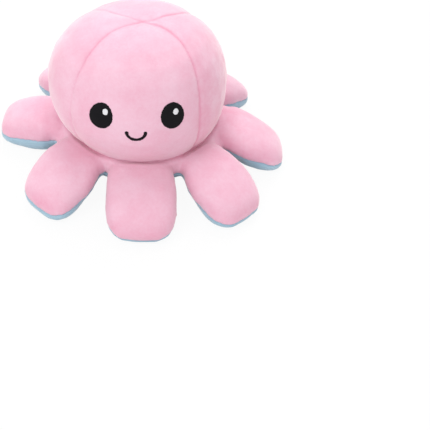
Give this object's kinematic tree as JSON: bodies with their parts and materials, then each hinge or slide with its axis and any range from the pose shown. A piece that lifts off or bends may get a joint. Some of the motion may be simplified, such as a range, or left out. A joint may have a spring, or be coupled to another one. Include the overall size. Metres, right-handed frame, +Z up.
{
  "type": "plush octopus",
  "caption": "Small reversible plush octopus: a stuffed round head over a pocket, with short padded arms that bend at their roots.",
  "frame": {"origin": "on the floor under the middle of the head", "axes": "+Z up through the crown, the smiling face looks towards -Y"},
  "size_m": [0.1988, 0.2013, 0.1058],
  "materials": {
    "pink_plush": "short-pile velour, matt with a soft sheen",
    "blue_plush": "short-pile velour, matt with a soft sheen",
    "fibre_filling": "white polyester fibre",
    "black_thread": "satin embroidery thread",
    "white_thread": "satin embroidery thread"
  },
  "bodies": {
    "head": {"head_front": "pink_plush", "head_right": "pink_plush", "head_back": "pink_plush", "head_left": "pink_plush", "neck_shoulder": "pink_plush", "neck_band": "pink_plush", "lining_front": "blue_plush", "lining_right": "blue_plush", "lining_back": "blue_plush", "lining_left": "blue_plush", "mouth_ring": "blue_plush", "head_filling": "fibre_filling", "eye_left": "black_thread", "eye_right": "black_thread", "smile": "black_thread", "cross_eye_left": "black_thread", "cross_eye_right": "black_thread", "frown": "black_thread", "glint_left": "white_thread", "glint_right": "white_thread", "cross_glint_left": "white_thread", "cross_glint_right": "white_thread"},
    "arm_front": {"arm_front_top": "pink_plush", "arm_front_underside": "blue_plush", "arm_front_filling": "fibre_filling"},
    "arm_front_right": {"arm_front_right_top": "pink_plush", "arm_front_right_underside": "blue_plush", "arm_front_right_filling": "fibre_filling"},
    "arm_right": {"arm_right_top": "pink_plush", "arm_right_underside": "blue_plush", "arm_right_filling": "fibre_filling"},
    "arm_back_right": {"arm_back_right_top": "pink_plush", "arm_back_right_underside": "blue_plush", "arm_back_right_filling": "fibre_filling"},
    "arm_back": {"arm_back_top": "pink_plush", "arm_back_underside": "blue_plush", "arm_back_filling": "fibre_filling"},
    "arm_back_left": {"arm_back_left_top": "pink_plush", "arm_back_left_underside": "blue_plush", "arm_back_left_filling": "fibre_filling"},
    "arm_left": {"arm_left_top": "pink_plush", "arm_left_underside": "blue_plush", "arm_left_filling": "fibre_filling"},
    "arm_front_left": {"arm_front_left_top": "pink_plush", "arm_front_left_underside": "blue_plush", "arm_front_left_filling": "fibre_filling"}
  },
  "joints": [
    {"name": "arm_front_bend", "type": "hinge", "parent": "head", "child": "arm_front", "pos_m": [0, -0.066, 0.0155], "axis": [-1, 0, 0], "range_deg": [-40, 50], "stiffness_Nm_per_rad": 0.1},
    {"name": "arm_front_right_bend", "type": "hinge", "parent": "head", "child": "arm_front_right", "pos_m": [0.04667, -0.04667, 0.0155], "axis": [-0.7071, -0.7071, 0], "range_deg": [-40, 50], "stiffness_Nm_per_rad": 0.1},
    {"name": "arm_right_bend", "type": "hinge", "parent": "head", "child": "arm_right", "pos_m": [0.066, 0, 0.0155], "axis": [0, -1, 0], "range_deg": [-40, 50], "stiffness_Nm_per_rad": 0.1},
    {"name": "arm_back_right_bend", "type": "hinge", "parent": "head", "child": "arm_back_right", "pos_m": [0.04667, 0.04667, 0.0155], "axis": [0.7071, -0.7071, 0], "range_deg": [-40, 50], "stiffness_Nm_per_rad": 0.1},
    {"name": "arm_back_bend", "type": "hinge", "parent": "head", "child": "arm_back", "pos_m": [0, 0.066, 0.0155], "axis": [1, 0, 0], "range_deg": [-40, 50], "stiffness_Nm_per_rad": 0.1},
    {"name": "arm_back_left_bend", "type": "hinge", "parent": "head", "child": "arm_back_left", "pos_m": [-0.04667, 0.04667, 0.0155], "axis": [0.7071, 0.7071, 0], "range_deg": [-40, 50], "stiffness_Nm_per_rad": 0.1},
    {"name": "arm_left_bend", "type": "hinge", "parent": "head", "child": "arm_left", "pos_m": [-0.066, 0, 0.0155], "axis": [0, 1, 0], "range_deg": [-40, 50], "stiffness_Nm_per_rad": 0.1},
    {"name": "arm_front_left_bend", "type": "hinge", "parent": "head", "child": "arm_front_left", "pos_m": [-0.04667, -0.04667, 0.0155], "axis": [-0.7071, 0.7071, 0], "range_deg": [-40, 50], "stiffness_Nm_per_rad": 0.1}
  ]
}
